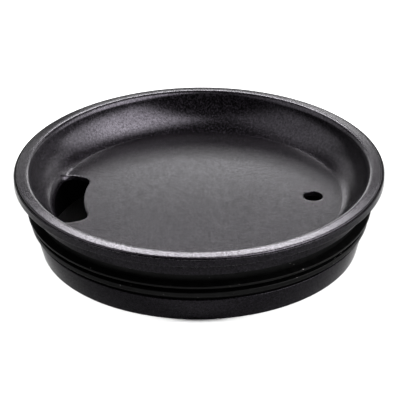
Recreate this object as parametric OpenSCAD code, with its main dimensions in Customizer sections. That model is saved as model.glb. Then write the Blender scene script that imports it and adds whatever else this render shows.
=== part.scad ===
// Press-in lid for a drinking tumbler, standing dish side up on its skirt.
// Origin: centre of the skirt's foot. +Z points up, the sip opening is on the -X side.
// All sizes are in millimetres.

/* [Rim] */
// Outer diameter of the rim, over the band of the plug ring
rim_d = 92; // [91:0.5:95]
// Overall height, foot to crest
lid_h = 20.5; // [19.5:0.1:24]
// Diameter of the circle along the top of the crest
crest_d = 86.5; // [86:0.1:87]
// Radius of the rounded crest
crest_round = 1.5; // [1.2:0.1:1.6]
// Downward lean of the rim's top surface outside the crest, in degrees
rim_lean = 9; // [6:1:14]
// Height of the band under the rim, from the ledge to the top of its lip
band_h = 1.85; // [1.7:0.05:2]

/* [Dish] */
// Depth of the dish, crest to floor
dish_depth = 8.45; // [7:0.05:9]
// Diameter of the flat floor
floor_d = 71.4; // [68:0.2:72]
// Slope of the dish wall just under the crest, in degrees from level
wall_lean = 78; // [72:1:82]
// Thickness of the floor
floor_t = 1.2; // [1:0.1:1.6]
// Thickness of the curved dish wall
wall_t = 0.8; // [0.7:0.1:0.9]

/* [Openings] */
// Radius of the inner edge of the sip opening
sip_inner_r = 28.8; // [28:0.1:30]
// Width of the sip opening, measured along the radius
sip_w = 7.2; // [6.2:0.1:7.4]
// Length of the sip opening, measured straight across its ends
sip_len = 23.2; // [16:0.2:28]
// Corner radius of the sip opening
sip_corner_r = 3; // [1:0.1:3]
// Diameter of the round vent hole
vent_d = 4.8; // [3:0.1:6]
// Distance from the centre to the vent hole
vent_x = 28.4; // [20:0.1:31]

/* [Plug] */
// Diameter of the neck that sits inside the cup's mouth
neck_d = 84.8; // [84.4:0.1:85]
// Height of the neck, from its lower edge up to the ledge
neck_h = 4.15; // [4:0.05:4.4]
// Height of the shoulder between the neck and the gasket groove
shoulder_h = 1.25; // [1:0.05:1.6]
// Diameter of the skirt at its top edge
skirt_top_d = 82.1; // [81.6:0.1:82.4]
// Diameter of the skirt at its foot
skirt_foot_d = 79.2; // [78.8:0.1:80]
// Height of the skirt below the gasket groove
skirt_h = 6.3; // [5:0.1:7]
// Inside diameter of the plug
plug_bore_d = 76; // [75.5:0.1:76.4]

/* [Gasket] */
// Diameter at the tip of the upper fin, which seals in the cup's mouth
seal_d = 85.7; // [85.2:0.1:86.2]
// Diameter at the lower bead
bead_d = 84.2; // [83.6:0.1:84.6]
// Diameter of the gasket's body between the fins
gasket_body_d = 81.6; // [81:0.1:82.2]
// Diameter at the bottom of the gasket groove
groove_d = 79.4; // [79:0.1:79.8]

/* [Hidden] */
$fn = 128;

arc_steps = 12;
corner_steps = 4;
cut_over = 1;

// Rim and dish, in the section plane: x is the radius, y is the height.
crest_r = crest_d / 2;
crest_z = lid_h - crest_round;
floor_r = floor_d / 2;
floor_z = lid_h - dish_depth;
wall_top = [crest_r - crest_round * sin(wall_lean), crest_z + crest_round * cos(wall_lean)];
chord = wall_top - [floor_r, floor_z];
chord_lean = atan2(chord[1], chord[0]);
bowl_r = norm(chord) / (2 * sin(wall_lean - chord_lean));
bowl_centre = wall_top + bowl_r * [-sin(wall_lean), cos(wall_lean)];

// Joint between the two mouldings.
ledge_z = lid_h - 2.5;
band_top_z = ledge_z + band_h;
seat_z = ledge_z + 0.9;
lip_t = 0.4;
shell_edge_r = rim_d / 2 - lip_t - 0.1;
shell_edge_round = 0.5;
seat_gap = 0.05;

// Plug.
band_corner = 0.25;
neck_r = neck_d / 2;
neck_foot_z = ledge_z - neck_h;
groove_top_z = neck_foot_z - shoulder_h;
ledge_inner_r = neck_r + 1.8;
neck_top_z = ledge_z - 2.1;
skirt_corner = 0.3;
plug_bore_r = plug_bore_d / 2;
spigot_gap = 0.2;
spigot_r = plug_bore_r - spigot_gap;

// Gasket.
fin_land = 0.6;
fin_z = neck_foot_z - 3.2;
bead_z = skirt_h + 1.3;
bead_h = 1.2;
bead_corner = 0.2;
groove_gap = 0.05;
sleeve_t = 0.5;

// Points along an arc of the section, from angle a0 to angle a1.
function arc(centre, r, a0, a1, steps) =
    [for (i = [0 : steps]) let (a = a0 + (a1 - a0) * i / steps) centre + r * [cos(a), sin(a)]];

// Angle on the bowl's arc of radius r, at the height z or at the distance x from the axis.
function angle_at_z(r, z) = asin((z - bowl_centre[1]) / r);
function angle_at_x(r, x) = -acos((x - bowl_centre[0]) / r);

// Upper moulding: crest, rim top, bowl wall and floor. The floor's flat underside runs on past the floor's
// edge as a spigot, which centres the moulding in the plug's bore and thickens the foot of the wall.
module shell_section() {
    under_r = bowl_r + wall_t;
    floor_under_z = floor_z - floor_t;
    rim_slope = 90 - rim_lean;
    shoulder_r = shell_edge_r - shell_edge_round;
    slope_run = shoulder_r - crest_r - (crest_round - shell_edge_round) * sin(rim_lean);
    shoulder_z = crest_z + (crest_round - shell_edge_round) * cos(rim_lean) - slope_run * tan(rim_lean);
    polygon(concat(
        [[0, floor_under_z], [spigot_r, floor_under_z]],
        arc(bowl_centre, under_r, angle_at_x(under_r, spigot_r), angle_at_z(under_r, seat_z), arc_steps),
        [[shell_edge_r, seat_z]],
        arc([shoulder_r, shoulder_z], shell_edge_round, 0, rim_slope, corner_steps),
        arc([crest_r, crest_z], crest_round, rim_slope, 90 + wall_lean, arc_steps),
        arc(bowl_centre, bowl_r, wall_lean - 90, angle_at_z(bowl_r, floor_z), arc_steps),
        [[0, floor_z]]
    ));
}

// A sector between two radii that reaches half_angle to each side of the -X direction.
module sector(r_in, r_out, half_angle, h) {
    rotate([0, 0, 180 - half_angle])
        rotate_extrude(angle = 2 * half_angle)
            translate([r_in, 0]) square([r_out - r_in, h]);
}

// The sip opening: a curved slot with rounded corners.
module sip_cutter() {
    h = dish_depth + floor_t + cut_over;
    sip_outer_r = sip_inner_r + sip_w;
    middle_r = sip_inner_r + sip_w / 2;
    corner_in = sip_inner_r + sip_corner_r;
    corner_out = sip_outer_r - sip_corner_r;
    half_angle = asin(sip_len / 2 / middle_r);
    angle_in = half_angle - asin(sip_corner_r / corner_in);
    angle_out = half_angle - asin(sip_corner_r / corner_out);
    translate([0, 0, floor_z - floor_t - cut_over]) {
        sector(sip_inner_r, middle_r, angle_in, h);
        sector(middle_r, sip_outer_r, angle_out, h);
        sector(corner_in, corner_out, half_angle, h);
        for (side = [-1, 1]) {
            rotate([0, 0, 180 + side * angle_in])
                translate([corner_in, 0, 0]) cylinder(h = h, r = sip_corner_r);
            rotate([0, 0, 180 + side * angle_out])
                translate([corner_out, 0, 0]) cylinder(h = h, r = sip_corner_r);
        }
    }
}

module dish_shell() {
    color([0.16, 0.15, 0.17])
    difference() {
        rotate_extrude() shell_section();
        sip_cutter();
        translate([vent_x, 0, floor_z - floor_t - cut_over])
            cylinder(h = floor_t + 2 * cut_over, d = vent_d);
    }
}

// Lower moulding: band, ledge, neck, shoulder, gasket groove and skirt around one open bore. The shoulder
// keeps the groove clear of the bowl above it, and the gasket's sleeve covers it.
module plug_section() {
    seat_r = bowl_r + wall_t + seat_gap;
    shoulder_r = gasket_body_d / 2 - sleeve_t - groove_gap;
    band_r = rim_d / 2;
    lip_inner_r = band_r - lip_t;
    polygon(concat(
        arc([band_r - lip_t / 2, band_top_z - lip_t / 2], lip_t / 2, 180, 0, 2 * corner_steps),
        arc([band_r - band_corner, ledge_z + band_corner], band_corner, 0, -90, corner_steps),
        [[ledge_inner_r, ledge_z], [neck_r, neck_top_z], [neck_r, neck_foot_z]],
        [[shoulder_r, neck_foot_z], [shoulder_r, groove_top_z]],
        [[groove_d / 2, groove_top_z], [groove_d / 2, skirt_h]],
        arc([skirt_top_d / 2 - skirt_corner, skirt_h - skirt_corner], skirt_corner, 90, 0, corner_steps),
        arc([skirt_foot_d / 2 - skirt_corner, skirt_corner], skirt_corner, 0, -90, corner_steps),
        [[plug_bore_r, 0]],
        arc(bowl_centre, seat_r, angle_at_x(seat_r, plug_bore_r), angle_at_z(seat_r, seat_z), arc_steps),
        [[lip_inner_r, seat_z]]
    ));
}

module plug_ring() {
    color([0.14, 0.13, 0.15])
    rotate_extrude() plug_section();
}

// Silicone ring: a thin upper fin with a short flat land at its tip, and a thick lower bead. Its body fills the
// groove, and a sleeve on top of it reaches up over the shoulder to the neck.
module gasket_section() {
    body_r = gasket_body_d / 2;
    bead_r = bead_d / 2;
    bore_r = groove_d / 2;
    sleeve_r = body_r - sleeve_t;
    sleeve_top_z = neck_foot_z - groove_gap;
    top_z = groove_top_z - groove_gap;
    foot_z = skirt_h + groove_gap;
    polygon(concat(
        [[bore_r, foot_z], [body_r - 0.3, foot_z], [body_r - 0.3, bead_z - 0.1]],
        arc([bead_r - bead_corner, bead_z + bead_corner], bead_corner, -90, 0, corner_steps),
        arc([bead_r - bead_corner, bead_z + bead_h - bead_corner], bead_corner, 0, 90, corner_steps),
        [[body_r, bead_z + bead_h + 0.15], [body_r, fin_z - fin_land]],
        [[seal_d / 2, fin_z - fin_land / 2], [seal_d / 2, fin_z + fin_land / 2]],
        [[body_r, fin_z + fin_land], [body_r, sleeve_top_z], [sleeve_r, sleeve_top_z]],
        [[sleeve_r, top_z], [bore_r, top_z]]
    ));
}

module gasket() {
    color([0.05, 0.05, 0.05])
    rotate_extrude() gasket_section();
}

dish_shell();
plug_ring();
gasket();
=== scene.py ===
"""Press-in tumbler lid: visual model, materials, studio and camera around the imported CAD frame."""

import math

import bmesh
import bpy
from mathutils import Matrix, Vector

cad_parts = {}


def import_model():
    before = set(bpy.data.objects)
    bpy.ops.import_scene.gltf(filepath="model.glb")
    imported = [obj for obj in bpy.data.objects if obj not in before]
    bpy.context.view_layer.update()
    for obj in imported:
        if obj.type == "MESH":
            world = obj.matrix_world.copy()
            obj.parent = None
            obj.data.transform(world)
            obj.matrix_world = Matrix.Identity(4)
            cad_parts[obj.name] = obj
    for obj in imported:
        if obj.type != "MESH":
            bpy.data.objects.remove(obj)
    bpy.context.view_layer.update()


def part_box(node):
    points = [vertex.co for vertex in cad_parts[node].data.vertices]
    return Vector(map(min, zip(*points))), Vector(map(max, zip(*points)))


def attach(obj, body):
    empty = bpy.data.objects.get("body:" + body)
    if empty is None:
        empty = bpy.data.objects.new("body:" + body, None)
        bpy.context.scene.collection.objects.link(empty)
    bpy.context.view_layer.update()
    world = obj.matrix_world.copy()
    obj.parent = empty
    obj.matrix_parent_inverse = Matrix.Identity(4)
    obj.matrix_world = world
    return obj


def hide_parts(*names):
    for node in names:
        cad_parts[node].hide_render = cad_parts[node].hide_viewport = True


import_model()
MM = 0.001

# ---------------------------------------------------------------------------------------------
# Sizes, in metres. Outer sizes are read from the frame and most others repeat the CAD's sections. The
# crown of the floor and the small roundings and chamfers are the visual model's own.
# ---------------------------------------------------------------------------------------------


def half_width(node):
    """Outer radius of a round CAD node."""
    low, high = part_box(node)
    return (high[0] - low[0]) / 2


SHELL_LOW, SHELL_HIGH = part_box("dish_shell")
_, RING_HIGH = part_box("plug_ring")
GASKET_LOW, GASKET_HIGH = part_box("gasket")

# Rim and dish
CREST_TOP_Z = SHELL_HIGH[2]
CREST_ROUND = 1.5 * MM
CREST_R = 43.25 * MM
CREST_Z = CREST_TOP_Z - CREST_ROUND
RIM_LEAN = math.radians(9)
WALL_LEAN = math.radians(78)
WALL_T = 0.8 * MM
SHELL_EDGE_R = half_width("dish_shell")
SHELL_EDGE_ROUND = 0.5 * MM
SHELL_EDGE_CHAMFER = 0.08 * MM
FLOOR_UNDER_Z = SHELL_LOW[2]
FLOOR_T = 1.2 * MM
FLOOR_Z = FLOOR_UNDER_Z + FLOOR_T
FLOOR_R = 35.7 * MM
FLOOR_CROWN = 0.3 * MM

# Bowl wall: an arc from the steep end of the crest down to the floor
WALL_TOP_R = CREST_R - CREST_ROUND * math.sin(WALL_LEAN)
WALL_TOP_Z = CREST_Z + CREST_ROUND * math.cos(WALL_LEAN)
CHORD_R = WALL_TOP_R - FLOOR_R
CHORD_Z = WALL_TOP_Z - FLOOR_Z
BOWL_R = math.hypot(CHORD_R, CHORD_Z) / (2 * math.sin(WALL_LEAN - math.atan2(CHORD_Z, CHORD_R)))
BOWL_CENTRE_R = WALL_TOP_R - BOWL_R * math.sin(WALL_LEAN)
BOWL_CENTRE_Z = WALL_TOP_Z + BOWL_R * math.cos(WALL_LEAN)
UNDER_R = BOWL_R + WALL_T

# Fillet where the floor meets the bowl. A grid row stands FOOT_GUARD away on each side of it.
FOOT_ROUND = 0.12 * MM
FOOT_GUARD = 0.04 * MM
FOOT_SLOPE = math.asin((FLOOR_R - BOWL_CENTRE_R) / BOWL_R)
FOOT_TANGENT = FOOT_ROUND * math.tan(FOOT_SLOPE / 2)

# Plug ring
BAND_R = half_width("plug_ring")
BAND_TOP_Z = RING_HIGH[2]
LEDGE_Z = CREST_TOP_Z - 2.5 * MM
SEAT_Z = LEDGE_Z + 0.9 * MM
LIP_T = 0.4 * MM
BAND_CORNER = 0.25 * MM
LEDGE_INNER_R = 44.2 * MM
NECK_R = 42.4 * MM
NECK_TOP_Z = LEDGE_Z - 2.1 * MM
NECK_FOOT_Z = LEDGE_Z - 4.15 * MM
NECK_FOOT_ROUND = 0.12 * MM
GROOVE_TOP_Z = NECK_FOOT_Z - 1.25 * MM
GROOVE_R = 39.7 * MM
GROOVE_GAP = 0.05 * MM
SKIRT_TOP_Z = 6.3 * MM
SKIRT_TOP_R = 41.05 * MM
SKIRT_FOOT_R = 39.6 * MM
SKIRT_CORNER = 0.3 * MM
PLUG_BORE_R = 38.0 * MM
SEAT_GAP = 0.05 * MM
SPIGOT_R = PLUG_BORE_R - 0.2 * MM
SPIGOT_CHAMFER = 0.3 * MM
SPIGOT_FLAT_R = SPIGOT_R - SPIGOT_CHAMFER

# Gasket. Its foot is the part of its body below the bead.
SEAL_R = half_width("gasket")
GASKET_BODY_R = 40.8 * MM
GASKET_FOOT_R = GASKET_BODY_R - 0.3 * MM
SLEEVE_R = GASKET_BODY_R - 0.5 * MM
BEAD_R = 42.1 * MM
BEAD_Z = SKIRT_TOP_Z + 1.3 * MM
BEAD_H = 1.2 * MM
BEAD_CORNER = 0.2 * MM
BEAD_UNDERCUT = 0.1 * MM
BEAD_SHOULDER = 0.15 * MM
FIN_Z = NECK_FOOT_Z - 3.2 * MM
FIN_LAND = 0.6 * MM
FIN_TIP_ROUND = 0.12 * MM

# Openings. The grid is remade in a patch around each of them. A patch margin reaches from the sip opening's
# inner edge, or from the vent's middle, to about the edge of its patch. The columns are half of a patch's own.
SIP_INNER_R = 28.8 * MM
SIP_OUTER_R = 36.0 * MM
SIP_HALF_LEN = 11.6 * MM
SIP_CORNER_R = 3.0 * MM
SIP_ROUND_FLOOR = 0.25 * MM
SIP_ROUND_WALL = 1.3 * MM
SIP_PATCH_MARGIN = 3.0 * MM
SIP_HALF_COLUMNS = 28
VENT_R = 2.4 * MM
VENT_X = 28.4 * MM
VENT_ROUND = 0.25 * MM
VENT_PATCH_MARGIN = 4.2 * MM
VENT_HALF_COLUMNS = 9
HOLE_BOTTOM_ROUND = 0.15 * MM

SEGMENTS = 384
SHARP_EDGE = math.radians(32)


# ---------------------------------------------------------------------------------------------
# Section outlines: lists of (radius, height)
# ---------------------------------------------------------------------------------------------


def arc(centre, radius, start, end, steps):
    """Points on an arc of a section, between two angles in radians."""
    turns = [start + (end - start) * i / steps for i in range(steps + 1)]
    return [(centre[0] + radius * math.cos(a), centre[1] + radius * math.sin(a)) for a in turns]


def quarter(centre, radius, start_deg, end_deg, steps=6):
    """A rounded corner: an arc between two angles in degrees."""
    return arc(centre, radius, math.radians(start_deg), math.radians(end_deg), steps)


def spread(start, end, steps):
    """Evenly spaced numbers from start up to, but without, end."""
    return [start + (end - start) * i / steps for i in range(steps)]


def line(start, end, steps):
    """Points from start up to, but without, end."""
    return list(zip(spread(start[0], end[0], steps), spread(start[1], end[1], steps)))


def top_height(r):
    """Height of the dish surface at radius r, for the floor, its small fillet and the bowl."""
    floor_edge_r = FLOOR_R - FOOT_TANGENT
    if r <= floor_edge_r:
        return FLOOR_Z + FLOOR_CROWN * (1 - (r / floor_edge_r) ** 2)
    bowl = BOWL_CENTRE_Z - math.sqrt(BOWL_R**2 - (r - BOWL_CENTRE_R) ** 2)
    if r >= FLOOR_R + FOOT_TANGENT:
        return bowl
    along = r - floor_edge_r
    return max(bowl, FLOOR_Z + FOOT_ROUND - math.sqrt(FOOT_ROUND**2 - along**2))


def under_height(r):
    """Height of the dish's underside at radius r, out to the spigot's edge."""
    return FLOOR_UNDER_Z + max(0, r - SPIGOT_FLAT_R)


# ---------------------------------------------------------------------------------------------
# Camera: the photograph's viewing angle
# ---------------------------------------------------------------------------------------------

CAMERA_ELEVATION = math.radians(27.896)
CAMERA_DISTANCE = 18 * BAND_R
CAMERA_PAN = math.radians(-0.0124)
CAMERA_TILT = math.radians(-0.5034)
CAMERA_ROLL = math.radians(-0.571)
CAMERA_LENS = 300.13
TARGET_Z = 19.58 * MM


def make_camera():
    """A long lens that looks at the lid's axis at rim height, but for a small pan, tilt and roll."""
    data = bpy.data.cameras.new("camera")
    data.lens = CAMERA_LENS
    data.sensor_width = 36
    data.clip_start = 0.01
    camera = bpy.data.objects.new("camera", data)
    bpy.context.scene.collection.objects.link(camera)
    back = Vector((0, -math.cos(CAMERA_ELEVATION), math.sin(CAMERA_ELEVATION)))
    right = Vector((1, 0, 0))
    up = back.cross(right)
    aim = Matrix((right, up, back)).transposed()
    aim = aim @ Matrix.Rotation(CAMERA_PAN, 3, "Y")
    aim = aim @ Matrix.Rotation(CAMERA_TILT, 3, "X")
    aim = aim @ Matrix.Rotation(CAMERA_ROLL, 3, "Z")
    place = back * CAMERA_DISTANCE + Vector((0, 0, TARGET_Z))
    camera.matrix_world = Matrix.Translation(place) @ aim.to_4x4()
    bpy.context.scene.camera = camera


# ---------------------------------------------------------------------------------------------
# Materials
# ---------------------------------------------------------------------------------------------


class Nodes:
    """A short way to build a material's node tree."""

    def __init__(self, name):
        self.material = bpy.data.materials.new(name)
        self.material.use_nodes = True
        self.tree = self.material.node_tree
        self.shader = self.tree.nodes["Principled BSDF"]
        self.place = self.tree.nodes.new("ShaderNodeTexCoord").outputs["Object"]

    def link(self, source, target):
        self.tree.links.new(source, target)

    def fill(self, socket, value):
        """Links an output to the socket, or sets the socket's own number or colour."""
        if isinstance(value, (int, float)):
            socket.default_value = value
        elif isinstance(value, tuple):
            socket.default_value = (*value, 1)
        else:
            self.link(value, socket)

    def noise(self, size, detail=2.0, roughness=0.5):
        """Noise whose features are about size metres across."""
        node = self.tree.nodes.new("ShaderNodeTexNoise")
        node.inputs["Scale"].default_value = 1 / size
        node.inputs["Detail"].default_value = detail
        node.inputs["Roughness"].default_value = roughness
        self.link(self.place, node.inputs["Vector"])
        return node.outputs["Fac"]

    def remap(self, value, source, target):
        """Carries a value from one (low, high) span to another."""
        node = self.tree.nodes.new("ShaderNodeMapRange")
        self.link(value, node.inputs["Value"])
        for side, (low, high) in (("From", source), ("To", target)):
            node.inputs[f"{side} Min"].default_value = low
            node.inputs[f"{side} Max"].default_value = high
        return node.outputs["Result"]

    def math(self, operation, a, b):
        node = self.tree.nodes.new("ShaderNodeMath")
        node.operation = operation
        for socket, value in zip(node.inputs, (a, b)):
            self.fill(socket, value)
        return node.outputs["Value"]

    def ramp(self, value, stops):
        """Colours between two stops, each a position and a colour."""
        node = self.tree.nodes.new("ShaderNodeValToRGB")
        self.link(value, node.inputs["Fac"])
        for element, (position, colour) in zip(node.color_ramp.elements, stops):
            element.position = position
            element.color = (*colour, 1)
        return node.outputs["Color"]

    def mix(self, factor, a, b):
        """A mix of two colours. The node has sockets of other types too, with the same names."""
        node = self.tree.nodes.new("ShaderNodeMix")
        node.data_type = "RGBA"
        self.link(factor, node.inputs["Factor"])
        colour_sockets = [socket for socket in node.inputs if socket.type == "RGBA"]
        for socket, colour in zip(colour_sockets, (a, b)):
            self.fill(socket, colour)
        return next(socket for socket in node.outputs if socket.type == "RGBA")

    def bump(self, height, distance, base=None):
        node = self.tree.nodes.new("ShaderNodeBump")
        node.inputs["Strength"].default_value = 1.0
        node.inputs["Distance"].default_value = distance
        self.link(height, node.inputs["Height"])
        if base is not None:
            self.link(base, node.inputs["Normal"])
        return node.outputs["Normal"]


# The middle span of a noise's values, which a pattern stretches to its own range
NOISE_SPAN = (0.3, 0.7)

# Feature sizes of the plastics' patterns
SPECKLE_SIZE = 0.5 * MM
SPARKLE_SIZE = 0.55 * MM
PIT_SIZE = 0.35 * MM
FINE_SIZE = 0.12 * MM
HANDLED_SIZE = 9 * MM

# How far the sheen swings about its level, the height of the fine grain as a share of that of the pits, and
# a slightly violet tint
SPARKLE_LOW = 0.35
SPARKLE_HIGH = 1.65
FINE_SHARE = 0.7
SHEEN_TINT = (0.94, 0.88, 1.0)


def satin_plastic(name, dark, light, roughness, grain, shine):
    """Moulded black plastic with a fine spark-eroded grain, seen by its sheen, and faint handling marks. The
    shine of the plug is below a real plastic's, to look as dark as the photo over a white table."""
    nodes = Nodes(name)
    speckle = nodes.noise(SPECKLE_SIZE, 2, 0.8)
    nodes.link(nodes.ramp(speckle, ((0.42, dark), (0.66, light))), nodes.shader.inputs["Base Color"])
    fine = nodes.noise(FINE_SIZE, 1, 0.6)
    pits = nodes.noise(PIT_SIZE, 2, 0.6)
    handled = nodes.noise(HANDLED_SIZE, 4, 0.55)
    both = nodes.math("ADD", nodes.math("MULTIPLY", pits, 0.5), nodes.math("MULTIPLY", handled, 0.5))
    nodes.link(nodes.remap(both, NOISE_SPAN, roughness), nodes.shader.inputs["Roughness"])
    pitted = nodes.bump(pits, grain)
    nodes.link(nodes.bump(fine, FINE_SHARE * grain, pitted), nodes.shader.inputs["Normal"])
    sparkle = nodes.noise(SPARKLE_SIZE, 3, 0.9)
    sheen = nodes.remap(sparkle, NOISE_SPAN, (SPARKLE_LOW * shine, SPARKLE_HIGH * shine))
    nodes.link(sheen, nodes.shader.inputs["Specular IOR Level"])
    nodes.fill(nodes.shader.inputs["Specular Tint"], SHEEN_TINT)
    nodes.shader.inputs["IOR"].default_value = 1.38
    return nodes.material


def silicone(name):
    """Matt black silicone with a soft bloom and a few specks of lint, which lie together in patches."""
    black = (0.001, 0.001, 0.001)
    bloom = (0.003, 0.003, 0.003)
    lint_grey = (0.3, 0.29, 0.29)
    nodes = Nodes(name)
    base = nodes.ramp(nodes.noise(1.5 * MM, 3), ((0.35, black), (0.7, bloom)))
    specks = nodes.remap(nodes.noise(0.7 * MM, 1), (0.74, 0.78), (0, 1))
    patches = nodes.remap(nodes.noise(8 * MM, 1), (0.5, 0.6), (0, 1))
    lint = nodes.math("MULTIPLY", specks, patches)
    nodes.link(nodes.mix(lint, base, lint_grey), nodes.shader.inputs["Base Color"])
    nodes.link(nodes.remap(nodes.noise(2 * MM, 3), NOISE_SPAN, (0.3, 0.42)), nodes.shader.inputs["Roughness"])
    nodes.link(nodes.bump(nodes.noise(0.5 * MM, 3), 0.006 * MM), nodes.shader.inputs["Normal"])
    # Below real silicone's index, to look as dark as the photo over a white table
    nodes.shader.inputs["IOR"].default_value = 1.18
    return nodes.material


DISH_PLASTIC = satin_plastic("dish_plastic", dark=(0.001, 0.001, 0.001), light=(0.015, 0.013, 0.016),
                             roughness=(0.16, 0.19), grain=0.018 * MM, shine=0.5)
PLUG_PLASTIC = satin_plastic("plug_plastic", dark=(0.002, 0.002, 0.002), light=(0.007, 0.006, 0.008),
                             roughness=(0.14, 0.20), grain=0.012 * MM, shine=0.18)
SILICONE = silicone("silicone")


# ---------------------------------------------------------------------------------------------
# Turned meshes
# ---------------------------------------------------------------------------------------------


def finish_piece(name, verts, faces, material, node):
    """Makes the mesh object, without loose points, and puts it in the frame in place of its CAD node."""
    mesh = bpy.data.meshes.new(name)
    mesh.from_pydata(verts, [], faces)
    shape = bmesh.new()
    shape.from_mesh(mesh)
    bmesh.ops.delete(shape, geom=[v for v in shape.verts if not v.link_faces], context="VERTS")
    bmesh.ops.recalc_face_normals(shape, faces=shape.faces)
    shape.to_mesh(mesh)
    shape.free()
    mesh.polygons.foreach_set("use_smooth", [True] * len(mesh.polygons))
    mesh.set_sharp_from_angle(angle=SHARP_EDGE)
    mesh.materials.append(material)
    piece = bpy.data.objects.new(name, mesh)
    bpy.context.scene.collection.objects.link(piece)
    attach(piece, "root")
    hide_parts(node)
    return piece


def spin_point(r, z, segment):
    """The point of the ring of radius r at one segment. Segment 0 lies on +X."""
    turn = 2 * math.pi * segment / SEGMENTS
    return (r * math.cos(turn), r * math.sin(turn), z)


def spin(outline):
    """The points of a section turned about Z, ring by ring."""
    return [spin_point(r, z, s) for r, z in outline for s in range(SEGMENTS)]


def ring_face(ring, after, s):
    """The face between two rings, from segment s to the next one."""
    t = (s + 1) % SEGMENTS
    return (ring * SEGMENTS + s, ring * SEGMENTS + t, after * SEGMENTS + t, after * SEGMENTS + s)


def turned_ring(name, outline, material, node):
    """A closed section turned about Z."""
    count = len(outline)
    faces = [ring_face(ring, (ring + 1) % count, s) for ring in range(count) for s in range(SEGMENTS)]
    return finish_piece(name, spin(outline), faces, material, node)


# ---------------------------------------------------------------------------------------------
# Ports: the openings in the dish floor
# ---------------------------------------------------------------------------------------------


class Port:
    """An opening through the dish floor: the patch of the turned grid that it takes up, its outline there,
    and the rounding of its top edge."""

    def __init__(self, first_row, last_row, middle, half_columns, outline, top_round):
        self.first_row = first_row
        self.last_row = last_row
        self.first_column = middle - half_columns
        self.columns = 2 * half_columns
        self.outline = outline
        self.top_round = top_round

    def covers(self, row, segment):
        """True for the grid cell between row and row + 1, and segment and segment + 1."""
        column = (segment - self.first_column) % SEGMENTS
        return self.first_row <= row < self.last_row and column < self.columns

    def perimeter(self):
        """(row, segment, side, fraction) of each grid point round the patch, in order."""
        rows = self.last_row - self.first_row
        last_column = self.first_column + self.columns
        walk = []
        for i in range(self.columns):
            walk.append((self.first_row, self.first_column + i, 0, i / self.columns))
        for i in range(rows):
            walk.append((self.first_row + i, last_column, 1, i / rows))
        for i in range(self.columns):
            walk.append((self.last_row, last_column - i, 2, i / self.columns))
        for i in range(rows):
            walk.append((self.last_row - i, self.first_column, 3, i / rows))
        return walk


def polar(r, turn):
    return Vector((r * math.cos(turn), r * math.sin(turn)))


def vent_outline(side, fraction):
    """A point of the vent's circle and the direction away from the hole. Side 0 faces the lid's centre."""
    turn = math.radians(225 + 90 * (side + fraction))
    # Side 0 of a patch on +X runs towards +Y, so the circle is walked the same way
    away = Vector((math.sin(turn), math.cos(turn)))
    return Vector((VENT_X, 0)) + away * VENT_R, away


def vent_round(away, point):
    """Rounding of the vent's top edge, the same all round."""
    return VENT_ROUND


def arc_stretch(centre, radius, start, end, sign=1):
    """Length and sampler of an arc. The sampler gives a point and the direction away from the hole there."""

    def place(share):
        spoke = polar(1, start + (end - start) * share)
        return centre + spoke * radius, spoke * sign

    return abs(end - start) * radius, place


def line_stretch(start, end, away):
    """Length and sampler of a straight stretch."""
    return (end - start).length, lambda share: (start.lerp(end, share), away)


def sip_sides():
    """The sip opening's edge, part of a ring with rounded corners on -X, as four sides of three stretches.
    Each side runs from the middle of one corner to the middle of the next; side 0 faces the lid's centre."""
    middle_r = (SIP_INNER_R + SIP_OUTER_R) / 2
    half = math.asin(SIP_HALF_LEN / middle_r)
    inner_c = SIP_INNER_R + SIP_CORNER_R
    outer_c = SIP_OUTER_R - SIP_CORNER_R
    swing_in = half - math.asin(SIP_CORNER_R / inner_c)
    swing_out = half - math.asin(SIP_CORNER_R / outer_c)
    centres = [polar(inner_c, math.pi - swing_in), polar(inner_c, math.pi + swing_in),
               polar(outer_c, math.pi + swing_out), polar(outer_c, math.pi - swing_out)]
    # Directions away from the hole where each corner starts and ends
    turns = [(math.pi / 2 - half, -swing_in), (swing_in, half - math.pi / 2),
             (half - math.pi / 2, swing_out - math.pi), (-swing_out - math.pi, -half - 1.5 * math.pi)]
    origin = Vector((0, 0))
    long_arcs = {0: arc_stretch(origin, SIP_INNER_R, math.pi - swing_in, math.pi + swing_in, -1),
                 2: arc_stretch(origin, SIP_OUTER_R, math.pi + swing_out, math.pi - swing_out)}
    sides = []
    for i in range(4):
        after = (i + 1) % 4
        first = arc_stretch(centres[i], SIP_CORNER_R, sum(turns[i]) / 2, turns[i][1])
        last = arc_stretch(centres[after], SIP_CORNER_R, turns[after][0], sum(turns[after]) / 2)
        start, away = first[1](1)
        middle = long_arcs.get(i) or line_stretch(start, last[1](0)[0], away)
        sides.append((first, middle, last))
    return sides


SIP_SIDES = sip_sides()


def sip_outline(side, fraction):
    """A point of the sip opening's edge, and the direction away from the hole."""
    left = fraction * sum(length for length, _ in SIP_SIDES[side])
    for length, place in SIP_SIDES[side]:
        if left <= length:
            return place(left / length)
        left -= length
    return place(1)


def sip_round(away, point):
    """Rounding of the sip opening's top edge: small on the floor side, larger under the wall."""
    turning = -0.2
    outward = away.dot(point.normalized())
    share = min(1, max(0, (outward - turning) / (1 - turning)))
    return SIP_ROUND_FLOOR + (SIP_ROUND_WALL - SIP_ROUND_FLOOR) * share**2


def on_surface(place, height, lift=0.0):
    """The point over place on a turned surface, given by its height at each radius, moved up by lift."""
    return (place.x, place.y, height(place.length) + lift)


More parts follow.
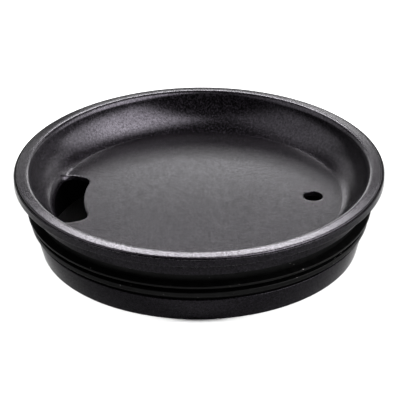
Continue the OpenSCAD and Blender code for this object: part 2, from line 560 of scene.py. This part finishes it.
def cut_port(port, last_ring, verts, faces):
    """Fills a port's patch with loops that run from the grid to the hole's edge, and adds the hole's wall."""
    blend_steps = 5
    round_steps = 6
    wall_steps = 2
    walk = port.perimeter()
    hole = [port.outline(side, fraction) for _, _, side, fraction in walk]
    rounds = [port.top_round(away, point) for point, away in hole]
    grid_top = [row * SEGMENTS + segment % SEGMENTS for row, segment, _, _ in walk]
    grid_under = [(last_ring - row) * SEGMENTS + segment % SEGMENTS for row, segment, _, _ in walk]
    loops = [grid_top]

    def add_loop(points):
        loops.append(list(range(len(verts), len(verts) + len(points))))
        verts.extend(points)

    # Across the floor, from the grid to where the edge's rounding starts
    starts = [Vector(verts[i][:2]) for i in grid_top]
    for k in range(1, blend_steps + 1):
        share = k / blend_steps
        add_loop([on_surface(start.lerp(point + away * rho, share), top_height)
                  for start, (point, away), rho in zip(starts, hole, rounds)])
    # Over the top edge
    for k in range(1, round_steps + 1):
        turn = math.pi / 2 * k / round_steps
        back = 1 - math.sin(turn)
        drop = 1 - math.cos(turn)
        add_loop([on_surface(point + away * rho * back, top_height, -rho * drop)
                  for (point, away), rho in zip(hole, rounds)])
    # Down the hole's wall
    highs = [verts[i][2] for i in loops[-1]]
    lows = [under_height(point.length) + HOLE_BOTTOM_ROUND for point, _ in hole]
    for k in range(1, wall_steps + 1):
        share = k / wall_steps
        add_loop([(point.x, point.y, high + (low - high) * share)
                  for (point, _), high, low in zip(hole, highs, lows)])
    # Round the bottom edge
    for k in range(1, round_steps + 1):
        turn = math.pi / 2 * k / round_steps
        back = 1 - math.cos(turn)
        lift = 1 - math.sin(turn)
        add_loop([on_surface(point + away * HOLE_BOTTOM_ROUND * back, under_height, HOLE_BOTTOM_ROUND * lift)
                  for point, away in hole])
    # Across the underside, back to the grid
    starts = [Vector(verts[i][:2]) for i in loops[-1]]
    ends = [Vector(verts[i][:2]) for i in grid_under]
    for k in range(1, blend_steps):
        share = k / blend_steps
        add_loop([on_surface(start.lerp(end, share), under_height) for start, end in zip(starts, ends)])
    loops.append(grid_under)
    for outer, inner in zip(loops, loops[1:]):
        for i in range(len(walk)):
            j = (i + 1) % len(walk)
            faces.append((outer[i], outer[j], inner[j], inner[i]))


# ---------------------------------------------------------------------------------------------
# Dish shell
# ---------------------------------------------------------------------------------------------


def shell_rows():
    """Radii of the grid rows that the top and the underside share, from the centre out to the spigot."""
    inner = [r * MM for r in range(2, 23, 3)]
    guard_in = FLOOR_R - FOOT_TANGENT - FOOT_GUARD
    guard_out = FLOOR_R + FOOT_TANGENT + FOOT_GUARD
    floor = spread(22.4 * MM, guard_in, 22)
    foot = [FLOOR_R + share * FOOT_TANGENT for share in (-1, -0.5, 0, 0.5, 1)]
    wall = spread(guard_out, SPIGOT_FLAT_R, 4)
    return inner + floor + [guard_in] + foot + wall + [SPIGOT_FLAT_R, SPIGOT_R]


def shell_outline_beyond():
    """The rest of the section, from the last shared row over the crest and back under to the spigot."""
    bowl_centre = (BOWL_CENTRE_R, BOWL_CENTRE_Z)
    wall_start = math.asin((top_height(SPIGOT_R) - BOWL_CENTRE_Z) / BOWL_R)
    wall = arc(bowl_centre, BOWL_R, wall_start, WALL_LEAN - math.pi / 2, 22)[1:-1]
    rim_slope = math.pi / 2 - RIM_LEAN
    crest = arc((CREST_R, CREST_Z), CREST_ROUND, math.pi / 2 + WALL_LEAN, rim_slope, 20)
    shoulder_r = SHELL_EDGE_R - SHELL_EDGE_ROUND
    run = shoulder_r - CREST_R - (CREST_ROUND - SHELL_EDGE_ROUND) * math.sin(RIM_LEAN)
    shoulder_z = CREST_Z + (CREST_ROUND - SHELL_EDGE_ROUND) * math.cos(RIM_LEAN) - run * math.tan(RIM_LEAN)
    shoulder = arc((shoulder_r, shoulder_z), SHELL_EDGE_ROUND, rim_slope, 0, 7)
    slope = line(crest[-1], shoulder[0], 4)[1:]
    edge = [(SHELL_EDGE_R, SEAT_Z + SHELL_EDGE_CHAMFER), (SHELL_EDGE_R - SHELL_EDGE_CHAMFER, SEAT_Z)]
    under_start = math.asin((SEAT_Z - BOWL_CENTRE_Z) / UNDER_R)
    under_end = -math.acos((SPIGOT_R - BOWL_CENTRE_R) / UNDER_R)
    under = arc(bowl_centre, UNDER_R, under_start, under_end, 14)
    return wall + crest + slope + shoulder + edge + under


def shell_ports(rows):
    """The sip opening on -X and the vent on +X, on the grid with rows of these radii."""

    def row_near(r):
        return rows.index(min(rows, key=lambda row: abs(row - r)))

    return [
        Port(row_near(SIP_INNER_R - SIP_PATCH_MARGIN), len(rows) - 1, SEGMENTS // 2,
             SIP_HALF_COLUMNS, sip_outline, sip_round),
        Port(row_near(VENT_X - VENT_PATCH_MARGIN), row_near(VENT_X + VENT_PATCH_MARGIN), 0,
             VENT_HALF_COLUMNS, vent_outline, vent_round),
    ]


def dish_shell():
    """The upper moulding, as one closed grid with the sip opening and the vent let into it."""
    rows = shell_rows()
    top = [(r, top_height(r)) for r in rows]
    under = [(r, under_height(r)) for r in reversed(rows)]
    outline = top + shell_outline_beyond() + under
    last_ring = len(outline) - 1
    verts = spin(outline)
    faces = []
    ports = shell_ports(rows)
    for ring in range(last_ring):
        mirror_row = last_ring - 1 - ring
        for s in range(SEGMENTS):
            if not any(port.covers(ring, s) or port.covers(mirror_row, s) for port in ports):
                faces.append(ring_face(ring, ring + 1, s))
    top_pole = len(verts)
    under_pole = top_pole + 1
    verts.append((0, 0, FLOOR_Z + FLOOR_CROWN))
    verts.append((0, 0, FLOOR_UNDER_Z))
    for s in range(SEGMENTS):
        t = (s + 1) % SEGMENTS
        faces.append((top_pole, t, s))
        faces.append((under_pole, last_ring * SEGMENTS + s, last_ring * SEGMENTS + t))
    for port in ports:
        cut_port(port, last_ring, verts, faces)
    return finish_piece("dish_shell_visual", verts, faces, DISH_PLASTIC, "dish_shell")


# ---------------------------------------------------------------------------------------------
# Plug ring and gasket
# ---------------------------------------------------------------------------------------------


def plug_ring():
    """The lower moulding: band, ledge, neck, gasket groove and skirt."""
    shoulder_r = SLEEVE_R - GROOVE_GAP
    seat_r = UNDER_R + SEAT_GAP
    seat_start = -math.acos((PLUG_BORE_R - BOWL_CENTRE_R) / seat_r)
    seat_end = math.asin((SEAT_Z - BOWL_CENTRE_Z) / seat_r)
    neck_foot = (NECK_R - NECK_FOOT_ROUND, NECK_FOOT_Z + NECK_FOOT_ROUND)
    outline = (
        arc((BAND_R - LIP_T / 2, BAND_TOP_Z - LIP_T / 2), LIP_T / 2, math.pi, 0, 12)
        + quarter((BAND_R - BAND_CORNER, LEDGE_Z + BAND_CORNER), BAND_CORNER, 0, -90)
        + [(LEDGE_INNER_R, LEDGE_Z), (NECK_R, NECK_TOP_Z)]
        + quarter(neck_foot, NECK_FOOT_ROUND, 0, -90, 4)
        + [(shoulder_r, NECK_FOOT_Z), (shoulder_r, GROOVE_TOP_Z)]
        + [(GROOVE_R, GROOVE_TOP_Z), (GROOVE_R, SKIRT_TOP_Z)]
        + quarter((SKIRT_TOP_R - SKIRT_CORNER, SKIRT_TOP_Z - SKIRT_CORNER), SKIRT_CORNER, 90, 0)
        + quarter((SKIRT_FOOT_R - SKIRT_CORNER, SKIRT_CORNER), SKIRT_CORNER, 0, -90)
        + quarter((PLUG_BORE_R + SKIRT_CORNER, SKIRT_CORNER), SKIRT_CORNER, -90, -180)
        + arc((BOWL_CENTRE_R, BOWL_CENTRE_Z), seat_r, seat_start, seat_end, 12)
        + [(BAND_R - LIP_T, SEAT_Z)]
    )
    return turned_ring("plug_ring_visual", outline, PLUG_PLASTIC, "plug_ring")


def gasket():
    """The silicone ring: bead below, thin fin above, body in the groove and sleeve over the shoulder."""
    top_z = GASKET_HIGH[2]
    foot_z = GASKET_LOW[2]
    body_top_z = GROOVE_TOP_Z - GROOVE_GAP
    bead_top_z = BEAD_Z + BEAD_H
    tip_r = SEAL_R - FIN_TIP_ROUND
    outline = (
        [(GROOVE_R, foot_z), (GASKET_FOOT_R, foot_z), (GASKET_FOOT_R, BEAD_Z - BEAD_UNDERCUT)]
        + quarter((BEAD_R - BEAD_CORNER, BEAD_Z + BEAD_CORNER), BEAD_CORNER, -90, 0)
        + quarter((BEAD_R - BEAD_CORNER, bead_top_z - BEAD_CORNER), BEAD_CORNER, 0, 90)
        + [(GASKET_BODY_R, bead_top_z + BEAD_SHOULDER), (GASKET_BODY_R, FIN_Z - FIN_LAND)]
        + quarter((tip_r, FIN_Z - FIN_LAND / 2 + FIN_TIP_ROUND), FIN_TIP_ROUND, -80, 0, 4)
        + quarter((tip_r, FIN_Z + FIN_LAND / 2 - FIN_TIP_ROUND), FIN_TIP_ROUND, 0, 80, 4)
        + [(GASKET_BODY_R, FIN_Z + FIN_LAND), (GASKET_BODY_R, top_z), (SLEEVE_R, top_z)]
        + [(SLEEVE_R, body_top_z), (GROOVE_R, body_top_z)]
    )
    return turned_ring("gasket_visual", outline, SILICONE, "gasket")


PIECES = [dish_shell(), plug_ring(), gasket()]
make_camera()


# ---------------------------------------------------------------------------------------------
# Studio: the table and the lid each have lights of their own
# ---------------------------------------------------------------------------------------------

# Sizes of a softbox's sheets, as shares of the size that is asked for. A larger sheet stands a little nearer
# to the lid.
SHEETS = (1.25, 1.05, 0.85, 0.65)
SHEET_FORWARD = 0.01


def softbox(name, receivers, radiance, azimuth, elevation, distance, width, height):
    """A soft-edged rectangular light that faces the lid and lights only the receivers: a stack of sheets,
    each smaller than the one before. Azimuth is in degrees from straight behind, positive to the right."""
    turn = math.radians(azimuth)
    rise = math.radians(elevation)
    aim = Vector((0, 0, CREST_TOP_Z))
    away = Vector((math.cos(rise) * math.sin(turn), math.cos(rise) * math.cos(turn), math.sin(rise)))
    for share in SHEETS:
        data = bpy.data.lights.new(name, "AREA")
        data.shape = "RECTANGLE"
        data.size = width * share
        data.size_y = height * share
        data.energy = radiance / len(SHEETS) * math.pi * data.size * data.size_y
        light = bpy.data.objects.new(name, data)
        bpy.context.scene.collection.objects.link(light)
        light.location = aim + away * distance * (1 - SHEET_FORWARD * share)
        light.rotation_euler = away.to_track_quat("Z", "Y").to_euler()
        light.visible_camera = False
        light.light_linking.receiver_collection = receivers


def light_group(name, members):
    """A collection of the objects that a group of lights falls on."""
    group = bpy.data.collections.new(name)
    for member in members:
        group.objects.link(member)
    return group


def floor():
    """A plain pale table, large enough to fill the views from above."""
    half = 1.5
    corners = [(-half, -half, 0), (half, -half, 0), (half, half, 0), (-half, half, 0)]
    mesh = bpy.data.meshes.new("floor")
    mesh.from_pydata(corners, [], [(0, 1, 2, 3)])
    nodes = Nodes("table_white")
    nodes.fill(nodes.shader.inputs["Base Color"], (0.8, 0.8, 0.8))
    nodes.shader.inputs["Roughness"].default_value = 0.9
    mesh.materials.append(nodes.material)
    table = bpy.data.objects.new("floor", mesh)
    bpy.context.scene.collection.objects.link(table)
    return table


def world():
    """A faint white surround. It is kept low so that the sip opening stays black."""
    studio = bpy.data.worlds.new("studio")
    studio.use_nodes = True
    background = studio.node_tree.nodes["Background"]
    background.inputs["Color"].default_value = (1, 1, 1, 1)
    background.inputs["Strength"].default_value = 0.03
    bpy.context.scene.world = studio


table_only = light_group("table_only", [floor()])
lid_only = light_group("lid_only", PIECES)
world()

# Each row: name, receivers, radiance, azimuth, elevation, distance, width, height
for side in (-90, 90):
    softbox("table_wash", table_only, 92, side, 35, 1.2, 0.3, 0.3)
# Behind the lid, within 30 degrees of the middle
softbox("behind_high", lid_only, 22, 0, 45, 0.9, 0.46, 0.17)
softbox("behind_low", lid_only, 6, 4, 15, 0.215, 0.105, 0.024)
softbox("behind_mid", lid_only, 2.0, 0, 22.5, 0.247, 0.20, 0.044)
softbox("left_spot", lid_only, 2.5, -22, 22, 0.9, 0.12, 0.10)
softbox("right_spot", lid_only, 6, 27, 32, 0.9, 0.16, 0.10)
# Further round to the right, which is the brighter side, and then to the left
softbox("right_back", lid_only, 1.6, 48, 20, 0.9, 0.40, 0.34)
softbox("right_wide", lid_only, 4.8, 86, 32, 0.9, 0.50, 0.90)
softbox("right_front", lid_only, 8.5, 122, 43, 0.8, 0.62, 1.05)
softbox("left_back", lid_only, 1.2, -42, 20, 0.9, 0.40, 0.34)
softbox("left_wide", lid_only, 1.8, -95, 36, 0.9, 1.10, 1.10)
bpy.context.scene.view_settings.view_transform = "Standard"
bpy.context.scene.view_settings.look = "Medium High Contrast"
